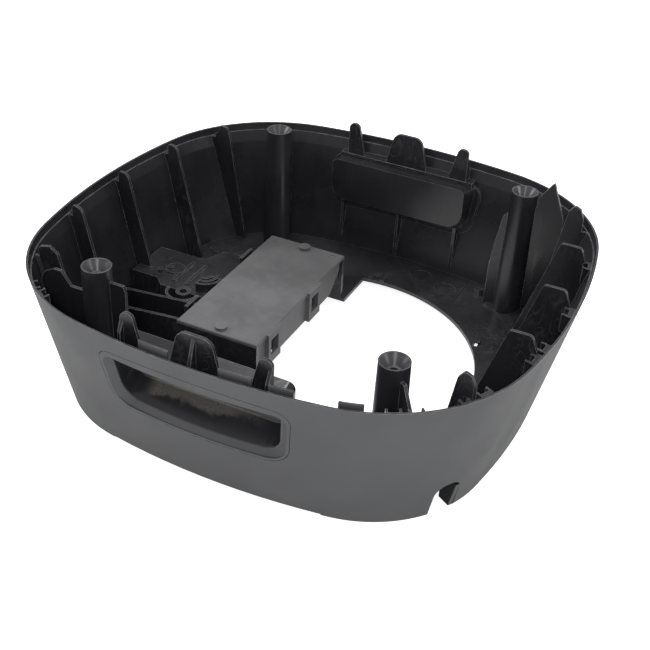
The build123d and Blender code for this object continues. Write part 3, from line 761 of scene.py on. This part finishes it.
    def _skin(self, wall: WallForm) -> bpy.types.NodeTree:
        """Builds the masks that follow from the wall's own shape.

        Mask is the outer face, Depth the way in from the front or back wall, Inset what stands
        clear of the wall and the towers, and Mouth the towers' funnel mouths, where painted
        sheen goes.

        Args:
            wall: The wall's form.

        Returns:
            The group.
        """
        outputs = ("Mask", "Depth", "Inset", "Mouth")
        graph, keep = self._start("Outer Skin", "Keep", wall.near, outputs)
        x, y, z = graph.parts(graph.place())
        away_x, away_y = graph.calc("ABSOLUTE", x), graph.calc("ABSOLUTE", y)
        lean = graph.times(z, wall.slope)
        across = graph.calc("DIVIDE", away_x, graph.calc("ADD", lean, wall.half_x))
        along = graph.calc("DIVIDE", away_y, graph.calc("ADD", lean, wall.half_y))
        plan = graph.calc("ADD", graph.power(across, wall.power), graph.power(along, wall.power))
        near = graph.calc("GREATER_THAN", plan, keep)
        bow = graph.calc("ADD", lean, wall.front_bow)
        arc = graph.calc("SQRT", graph.less(graph.power(bow, 2.0), graph.power(x, 2.0)))
        face = graph.less(arc, wall.front_bow - wall.half_y)
        inset = graph.calc(
            "MAXIMUM",
            graph.step(plan, wall.inboard),
            graph.step(z, wall.over_rim(wall.above_rim)),
        )
        bored: Value = 0.0
        for tower_x in wall.tower_x:
            apart = self._apart(graph, graph.less(x, tower_x), graph.less(away_y, wall.tower_y))
            inset = graph.times(inset, graph.step(apart, wall.tower_clear))
            bored = graph.calc("MAXIMUM", bored, graph.step(apart, wall.mouth_reach))
        high = graph.step(z, wall.over_rim(wall.mouth_height))
        return self._finish(
            graph,
            Mask=graph.times(near, self._outward(graph, x, y, wall.outward)),
            Depth=graph.less(face, away_y),
            Inset=inset,
            Mouth=graph.times(bored, high),
        )

    @staticmethod
    def _apart(graph: Graph, across: Socket, along: Socket) -> Socket:
        """Works out the length of a flat step.

        Args:
            graph: Graph of the group.
            across: The step's X.
            along: The step's Y.

        Returns:
            The length's socket.
        """
        squared = graph.calc("ADD", graph.power(across, 2.0), graph.power(along, 2.0))
        return graph.calc("SQRT", squared)

    @staticmethod
    def _outward(graph: Graph, x: Socket, y: Socket, span: Span) -> Socket:
        """Says whether a face looks away from the body's middle.

        Args:
            graph: Graph of the group.
            x: The face's X.
            y: The face's Y.
            span: How squarely it looks outwards where the mask starts and is full.

        Returns:
            The mask's socket.
        """
        flat = graph.node("ShaderNodeCombineXYZ")
        graph.feed(flat.inputs["X"], x)
        graph.feed(flat.inputs["Y"], y)
        out_way = graph.vector("NORMALIZE", flat.outputs[0]).outputs["Vector"]
        return graph.step(graph.dot(out_way, graph.normal()), span)


@dataclass(frozen=True)
class Finish:
    """One moulded finish.

    Args:
        label: Name of the material.
        skin: Colour of the outer, matt face.
        bare: Colour of the bare plastic behind it.
        edge: Colour of the painted highlight on edges.
        dust: Colour of dust.
        matt: Roughness of the outer face.
        gloss: Roughness of the bare plastic.
        dusty: Amount of settled dust.
        grain: Height of the grain in metres.
        ripple: Height of the swirls on ribs and fins, in grain heights.
        lines: Strength of the painted highlight streaks along the flow lines on ribs and fins.
        sheen: How the surface answers light.
        bezel_depth: Depths behind the wall's face where a grip's matt bezel starts and is full.
        shares: How strongly each effect shows.
        far_shade: Form of the painted shade towards the cover's back end.
        patch: Form of the dust in the front hand pocket.
    """

    label: str
    skin: Colour
    bare: Colour
    edge: Colour
    dust: Colour = (0.24, 0.22, 0.19)
    matt: float = 0.55
    gloss: float = 0.35
    dusty: float = 0.0
    grain: float = 0.00006
    ripple: float = 0.0
    lines: float = 0.0
    sheen: Sheen = Sheen.GRAINED
    bezel_depth: Span = (0.0049, 0.0040)
    shares: LayerShares = LayerShares()
    far_shade: FarShadeForm = FarShadeForm()
    patch: PocketDustForm = PocketDustForm()

    def make(self, effects: SharedEffects) -> bpy.types.Material:
        """Builds the material.

        Args:
            effects: The shared node groups.

        Returns:
            The material.
        """
        material = bpy.data.materials.new(self.label)
        material.use_nodes = True
        graph = Graph(material.node_tree)
        placed = effects.place(graph, self.dusty)
        fallen = placed.dust["Mask"]
        if self.sheen is Sheen.POLISHED:
            fallen = graph.calc("MAXIMUM", fallen, self._pocket_dust(graph))
        outer = self._outer_share(graph, placed)
        # Painted highlight: moulded edges are lightened towards the finish's edge colour.
        edge_highlight_share = graph.level(outer, self.shares.bare_edge_highlight, self.shares.outer_edge_highlight)
        edges = graph.times(placed.edge["Mask"], edge_highlight_share)
        clean = graph.blend(edges, self._clean_colour(graph, placed, outer), self.edge)
        cloudy = graph.times(placed.flow["Cloud"], self.shares.cloud_rough)
        rough = graph.calc("ADD", graph.level(outer, self.gloss, self.matt), cloudy, clamp=True)
        inputs = graph.first("BSDF_PRINCIPLED").inputs
        graph.feed(inputs["Base Color"], graph.blend(fallen, clean, self.dust))
        graph.feed(inputs["Roughness"], graph.level(fallen, rough, self.shares.dust_rough))
        graph.feed(inputs["Normal"], self._relief(graph, placed, outer))
        return material

    def _clean_colour(self, graph: Graph, placed: PlacedEffects, outer: Value) -> Socket:
        """Colours the surface, without its painted edge highlight and its dust.

        Args:
            graph: Graph of the material.
            placed: The shared groups in it.
            outer: Where the outer finish shows.

        Returns:
            The colour's socket.
        """
        shares = self.shares
        flow, skin = placed.flow, placed.skin
        inner: Value = self.bare
        # Streaks and clouds are the plastic's own tone; the pale flow lines are painted
        # highlight streaks and the lighter funnel mouths are painted sheen.
        for mask, share, pale in (
            (flow["Streak"], shares.streak, shares.pale),
            (flow["Cloud"], shares.cloud, shares.cloud_pale),
            (graph.times(flow["Line"], skin["Inset"]), self.lines, shares.line_highlight_pale),
            (skin["Mouth"], shares.mouth, shares.mouth_sheen_pale),
        ):
            inner = graph.blend(graph.times(mask, share), inner, self._lift(self.bare, pale))
        flecks = graph.times(placed.grain["Fleck"], shares.fleck)
        tone = graph.blend(flecks, self.skin, self._lift(self.skin, shares.pale))
        colour = graph.blend(outer, inner, tone)
        # Painted shade: the cover darkens towards its back end, broken up by the clouds.
        if self.sheen is Sheen.SATIN:
            darker = self._lift(self.skin, self.far_shade.shade)
            colour = graph.blend(self._far_shade(graph, placed), colour, darker)
        return colour

    def _relief(self, graph: Graph, placed: PlacedEffects, outer: Value) -> Socket:
        """Builds the fine relief: grain outside, streaks and swirls inside.

        Args:
            graph: Graph of the material.
            placed: The shared groups in it.
            outer: Where the outer finish shows.

        Returns:
            The socket of the bumped direction.
        """
        streaks = graph.times(placed.flow["Streak"], self.shares.streak_height)
        swirls = graph.times(placed.flow["Swirl"], placed.skin["Inset"], self.ripple)
        ripple = graph.calc("ADD", streaks, swirls)
        bump = graph.node("ShaderNodeBump")
        graph.feed(bump.inputs["Distance"], self.grain)
        graph.feed(bump.inputs["Strength"], self.shares.bump)
        graph.feed(bump.inputs["Height"], graph.level(outer, ripple, placed.grain["Height"]))
        return bump.outputs[0]

    def _outer_share(self, graph: Graph, placed: PlacedEffects) -> Value:
        """Says where the outer finish shows.

        Args:
            graph: Graph of the material.
            placed: The shared groups in it.

        Returns:
            A mask: the grips' bezel, nothing of the cover, or the shell's outer face.
        """
        if self.sheen is Sheen.POLISHED:
            return graph.step(placed.skin["Depth"], self.bezel_depth)
        if self.sheen is Sheen.SATIN:
            return 0.0
        return placed.skin["Mask"]

    def _far_shade(self, graph: Graph, placed: PlacedEffects) -> Socket:
        """Builds the mask of the painted shade towards the cover's back end, broken up by the
        clouds.

        Args:
            graph: Graph of the material.
            placed: The shared groups in it.

        Returns:
            A mask socket.
        """
        far_shade = self.far_shade
        _, y, _ = graph.parts(graph.place())
        cloudy = graph.level(placed.flow["Cloud"], far_shade.clear_share, far_shade.cloud_share)
        return graph.times(graph.step(y, far_shade.back), cloudy)

    def _pocket_dust(self, graph: Graph) -> Socket:
        """Builds the mask of the tan dust on the ramp at the back of the front hand pocket.

        Args:
            graph: Graph of the material.

        Returns:
            A mask socket.
        """
        form = self.patch
        x, y, z = graph.parts(graph.place())
        frayed = graph.less(graph.noise(form.fray), form.fray_middle)
        frayed = graph.times(frayed, form.fray_reach)
        low = graph.calc("ADD", graph.calc("MULTIPLY_ADD", x, form.slant, form.foot), frayed)
        speck = graph.step(graph.noise(form.speck), form.speck_cut)
        return graph.times(
            graph.step(graph.less(z, low), form.rise),
            graph.step(x, form.left),
            graph.step(x, form.right),
            graph.calc("LESS_THAN", z, form.top),
            graph.calc("LESS_THAN", y, 0.0),
            graph.calc("MULTIPLY_ADD", speck, form.speck_share, form.film_share),
        )

    @staticmethod
    def _lift(colour: Colour, by: float) -> Colour:
        """Makes a colour of the same hue.

        Args:
            colour: The colour to start from.
            by: How many times as light the new one is.

        Returns:
            The new colour.
        """
        red, green, blue = colour
        return (red * by, green * by, blue * by)


@dataclass(frozen=True)
class MouldedPiece:
    """One CAD node with its finish.

    Args:
        node: Name of the CAD node.
        finish: Its finish.
    """

    node: str
    finish: Finish

    def dress(self, effects: SharedEffects) -> bpy.types.Material:
        """Puts the finish on the node.

        Args:
            effects: The shared node groups.

        Returns:
            The node's material.
        """
        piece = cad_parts[self.node]
        material = self.finish.make(effects)
        for slot in piece.material_slots:
            slot.material = material
        LOG.info("%s dressed in %s", self.node, self.finish.label)
        return material


@dataclass(frozen=True)
class FlashStrip:
    """Thin ragged flash that stands on the edge of the web beside the back right tower; its pale
    finish is a painted glint.

    Args:
        foot: Its lower end.
        head: Its upper end.
        reach: How far it stands off the edge.
        thick: Its thickness.
        cuts: Number of cuts that make its edge ragged.
        ragged: How ragged it is, as a share of its reach.
        seed: Seed of the ragged edge.
    """

    foot: Point = (0.0797, 0.1120, 0.0205)
    head: Point = (0.0800, 0.1120, 0.0445)
    reach: float = 0.0011
    thick: float = 0.0007
    cuts: int = 14
    ragged: float = 0.22
    seed: int = 7

    def build(self, finish: bpy.types.Material) -> bpy.types.Object:
        """Models the strip.

        Args:
            finish: Its material.

        Returns:
            The strip.
        """
        foot, head = Vector(self.foot), Vector(self.head)
        strip = new_block("web_flash", (self.reach, self.thick, (head - foot).length))
        bpy.ops.object.mode_set(mode="EDIT")
        bpy.ops.mesh.select_all(action="SELECT")
        bpy.ops.mesh.subdivide(number_cuts=self.cuts)
        bpy.ops.transform.vertex_random(offset=self.reach * self.ragged, seed=self.seed)
        bpy.ops.mesh.normals_make_consistent(inside=False)
        bpy.ops.object.mode_set(mode="OBJECT")
        strip.rotation_euler = (head - foot).to_track_quat("Z", "Y").to_euler()
        strip.location = (foot + head) / 2
        return settle(strip, finish)


@dataclass(frozen=True)
class CatchLip:
    """Small lip that stands beside the slot in the floor, right of the opening.

    Args:
        place: Middle of its foot.
        size: Its width, length and height.
        bevel: Its rounded edge.
        turn: How far it is turned about the vertical.
    """

    place: Point = (0.0947, 0.0608, 0.0094)
    size: Point = (0.0014, 0.0050, 0.0024)
    bevel: float = 0.0003
    turn: float = math.radians(8.0)

    def build(self, finish: bpy.types.Material) -> bpy.types.Object:
        """Models the lip.

        Args:
            finish: Its material.

        Returns:
            The lip.
        """
        lip = new_block("slot_lip", self.size)
        round_edges(self.bevel)
        lip.rotation_euler = (0.0, 0.0, self.turn)
        lip.location = Vector(self.place) + Vector((0.0, 0.0, self.size[2] / 2))
        return settle(lip, finish)


@dataclass(frozen=True)
class NotchCheek:
    """Side wall of the cord notch, from the outer skin inwards and down to the resting plane.

    Args:
        start: Point on the notch's axis that its reaches are counted from.
        turn: Direction of that axis, about the vertical.
        reach: Its inner and outer end along the axis, at the foot.
        lean: How far its outer end leans out for each unit of height, as the body's wall does.
        sides: Its two faces, counted across the axis.
        heights: Its foot and top.
        bevel: Its rounded edges.
    """

    start: Point = (0.0601, -0.0547, 0.0)
    turn: float = math.radians(-32.0)
    reach: Span = (0.0703, 0.0795)
    lean: float = 0.235
    sides: Span = (0.0060, 0.0090)
    heights: Span = (0.0002, 0.0196)
    bevel: float = 0.0004

    def build(self, finish: bpy.types.Material) -> bpy.types.Object:
        """Models the wall with its leaning outer end.

        Args:
            finish: Its material.

        Returns:
            The wall.
        """
        spans = (self.reach, self.sides, self.heights)
        width, depth, height = (high - low for low, high in spans)
        middle = Vector([(low + high) / 2 for low, high in spans])
        cheek = new_block("notch_cheek", (width, depth, height))
        bpy.ops.object.mode_set(mode="EDIT")
        bpy.ops.mesh.select_mode(type="VERT")
        bpy.ops.mesh.select_all(action="DESELECT")
        bpy.ops.object.mode_set(mode="OBJECT")
        for corner in cheek.data.vertices:
            corner.select = corner.co.x > 0.0 and corner.co.z > 0.0
        bpy.ops.object.mode_set(mode="EDIT")
        bpy.ops.transform.translate(value=(self.lean * height, 0.0, 0.0))
        bpy.ops.object.mode_set(mode="OBJECT")
        round_edges(self.bevel)
        cheek.rotation_euler = (0.0, 0.0, self.turn)
        cheek.location = Vector(self.start) + Matrix.Rotation(self.turn, 3, "Z") @ middle
        return settle(cheek, finish)


def new_block(name: str, size: Point) -> bpy.types.Object:
    """Adds a block at the origin.

    Args:
        name: Name of the piece.
        size: Its width, depth and height.

    Returns:
        The block.
    """
    bpy.ops.object.select_all(action="DESELECT")
    bpy.ops.mesh.primitive_cube_add(size=1.0, location=(0.0, 0.0, 0.0))
    block = bpy.context.object
    block.name = name
    block.scale = size
    bpy.ops.object.transform_apply(location=True, rotation=True, scale=True)
    return block


def round_edges(width: float) -> None:
    """Rounds all edges of the newest block.

    Args:
        width: How far the rounding reaches from each edge.
    """
    bpy.ops.object.mode_set(mode="EDIT")
    bpy.ops.mesh.select_all(action="SELECT")
    bpy.ops.mesh.bevel(offset=width, segments=BEVEL_SEGMENTS, affect="EDGES")
    bpy.ops.object.mode_set(mode="OBJECT")


def settle(piece: bpy.types.Object, finish: bpy.types.Material) -> bpy.types.Object:
    """Applies a new piece's place, gives it its finish and lets it ride on the body.

    Args:
        piece: The new piece, with its place and turn set.
        finish: Its material.

    Returns:
        The same piece.
    """
    bpy.ops.object.transform_apply(location=True, rotation=True, scale=True)
    piece.data.materials.append(finish)
    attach(piece, "root")
    LOG.info("%s built", piece.name)
    return piece


@dataclass(frozen=True)
class Softbox:
    """One soft round lamp.

    Args:
        name: Its name.
        place: Where it hangs.
        size: Width of its face.
        power: Its power in watts.
    """

    name: str
    place: Point
    size: float
    power: float

    def hang(self, target: Vector) -> None:
        """Adds the lamp.

        Args:
            target: Point that it faces.
        """
        place = Vector(self.place)
        bpy.ops.object.light_add(type="AREA", location=place)
        lamp = bpy.context.object
        lamp.name = self.name
        lamp.data.shape = "DISK"
        lamp.data.size = self.size
        lamp.data.energy = self.power
        lamp.rotation_euler = (target - place).to_track_quat("-Z", "Y").to_euler()


@dataclass(frozen=True)
class Studio:
    """Pale floor, white surroundings and soft lamps.

    Args:
        floor_size: Width of the floor.
        floor_colour: Colour of the floor.
        floor_rough: Roughness of the floor.
        floor_shine: Strength of the floor's reflections.
        floor_glow: How far the floor is lifted to white for the camera.
        floor_bounce: How much light the lit floor throws back at the object.
        ambient: Strength of the surrounding light.
        mirrored: Strength of the surroundings in reflections.
        lamps: The soft lamps.
        target: Point that the lamps face.
    """

    floor_size: float = 6.0
    floor_colour: Colour = (0.86, 0.86, 0.86)
    floor_rough: float = 0.9
    floor_shine: float = 0.1
    floor_glow: float = 0.84
    floor_bounce: float = 0.35
    ambient: float = 0.52
    mirrored: float = 0.34
    lamps: tuple[Softbox, ...] = (
        Softbox("overhead softbox", (-0.25, 0.30, 1.45), 0.7, 8.0),
        Softbox("left softbox", (-1.5, -0.25, 0.9), 0.9, 10.0),
        Softbox("right softbox", (1.45, 0.15, 0.8), 0.6, 5.0),
        Softbox("front strip", (0.50, -1.25, 1.05), 0.35, 5.0),
    )
    target: Point = (0.0, 0.0, 0.05)

    def build(self) -> None:
        """Builds floor, world and lamps."""
        self._floor()
        self._world()
        for lamp in self.lamps:
            lamp.hang(Vector(self.target))

    def _floor(self) -> None:
        """Adds the floor, lifted to white where the camera sees it."""
        bpy.ops.object.select_all(action="DESELECT")
        bpy.ops.mesh.primitive_plane_add(size=self.floor_size, location=(0.0, 0.0, 0.0))
        floor = bpy.context.object
        floor.name = "floor"
        material = bpy.data.materials.new("pale floor")
        material.use_nodes = True
        graph = Graph(material.node_tree)
        seen = graph.node("ShaderNodeLightPath").outputs
        lifted = graph.times(seen["Is Camera Ray"], self.floor_glow)
        inputs = graph.first("BSDF_PRINCIPLED").inputs
        graph.feed(inputs["Base Color"], self.floor_colour)
        graph.feed(inputs["Roughness"], self.floor_rough)
        graph.feed(inputs["Specular IOR Level"], self.floor_shine)
        graph.feed(inputs["Emission Color"], WHITE)
        shine = graph.calc("MAXIMUM", lifted, self.floor_bounce)
        graph.feed(inputs["Emission Strength"], shine)
        floor.data.materials.append(material)
        LOG.info("floor laid")

    def _world(self) -> None:
        """Makes the surroundings white to the camera and even to the object."""
        world = bpy.data.worlds.new("white room")
        bpy.context.scene.world = world
        world.use_nodes = True
        graph = Graph(world.node_tree)
        sky = graph.first("BACKGROUND").inputs
        graph.feed(sky["Color"], WHITE)
        seen = graph.node("ShaderNodeLightPath").outputs
        shown = graph.times(seen["Is Glossy Ray"], self.mirrored)
        for value in (seen["Is Camera Ray"], seen["Is Transmission Ray"], self.ambient):
            shown = graph.calc("MAXIMUM", shown, value)
        graph.feed(sky["Strength"], shown)


@dataclass(frozen=True)
class PhotoCamera:
    """The camera that took the photograph, as solved from the object's own outlines.

    Args:
        place: Where it stands.
        right: Direction of the picture's right side.
        up: Direction of the picture's top.
        sensor: Width of the sensor, in mm.
        lens: Focal length for that sensor, in mm.
        shift: Small shift of the picture.
    """

    place: Point = (0.25502, -0.55111, 0.43797)
    right: Point = (0.8969, 0.4396, 0.0477)
    up: Point = (-0.2806, 0.4824, 0.8298)
    sensor: float = 36.0
    lens: float = 60.98
    shift: Span = (-0.0028, -0.0070)

    def build(self) -> None:
        """Adds the camera and makes it the scene's."""
        right = Vector(self.right).normalized()
        back = right.cross(Vector(self.up)).normalized()
        up = back.cross(right)
        bpy.ops.object.camera_add()
        camera = bpy.context.object
        camera.name = "photo camera"
        turn = Matrix((right, up, back)).transposed().to_4x4()
        camera.matrix_world = Matrix.Translation(self.place) @ turn
        camera.data.sensor_width = self.sensor
        camera.data.lens = self.lens
        camera.data.shift_x, camera.data.shift_y = self.shift
        bpy.context.scene.camera = camera


MATT_GREY: Colour = (0.068, 0.069, 0.072)

# Each finish's edge colour is its painted edge highlight.
SHELL = Finish(
    label="grey grained shell",
    skin=MATT_GREY,
    bare=(0.0155, 0.0155, 0.0180),
    edge=(0.36, 0.36, 0.37),
    gloss=0.24,
    dusty=0.05,
    ripple=9.0,
    lines=0.42,
)
COVER = Finish(
    label="mid grey cover",
    skin=(0.098, 0.098, 0.102),
    bare=(0.098, 0.098, 0.102),
    edge=(0.22, 0.22, 0.23),
    gloss=0.5,
    dusty=0.05,
    sheen=Sheen.SATIN,
)
GRIP = Finish(
    label="grip bezel and glossy pocket",
    skin=MATT_GREY,
    bare=(0.0165, 0.0165, 0.0190),
    edge=(0.20, 0.20, 0.21),
    gloss=0.12,
    sheen=Sheen.POLISHED,
)
# Painted highlight: the flash is coloured pale, standing in for the glint along the web's edge.
FLASH_GLINT = Finish(
    label="flash with painted glint",
    skin=(0.20, 0.20, 0.21),
    bare=(0.20, 0.20, 0.21),
    edge=(0.40, 0.40, 0.41),
    gloss=0.2,
    ripple=9.0,
    lines=0.6,
)
# Painted shade: the notch wall is a darker copy of the shell's bare plastic, standing in for the
# shade inside the cord notch.
NOTCH_SHADE = Finish(
    label="notch wall with painted shade",
    skin=MATT_GREY,
    bare=(0.0050, 0.0050, 0.0058),
    edge=(0.07, 0.07, 0.075),
    gloss=0.88,
)


def main() -> None:
    """Builds the scene in order."""
    logging.basicConfig(level=logging.INFO, format="%(message)s")
    bpy.context.scene.view_settings.view_transform = "Standard"
    PhotoCamera().build()
    effects = SharedEffects()
    shell_finish = MouldedPiece("base_shell", SHELL).dress(effects)
    MouldedPiece("compartment_cover", COVER).dress(effects)
    MouldedPiece("front_grip_insert", GRIP).dress(effects)
    MouldedPiece("back_grip_insert", GRIP).dress(effects)
    FlashStrip().build(FLASH_GLINT.make(effects))
    CatchLip().build(shell_finish)
    NotchCheek().build(NOTCH_SHADE.make(effects))
    Studio().build()


if __name__ == "__main__":
    main()
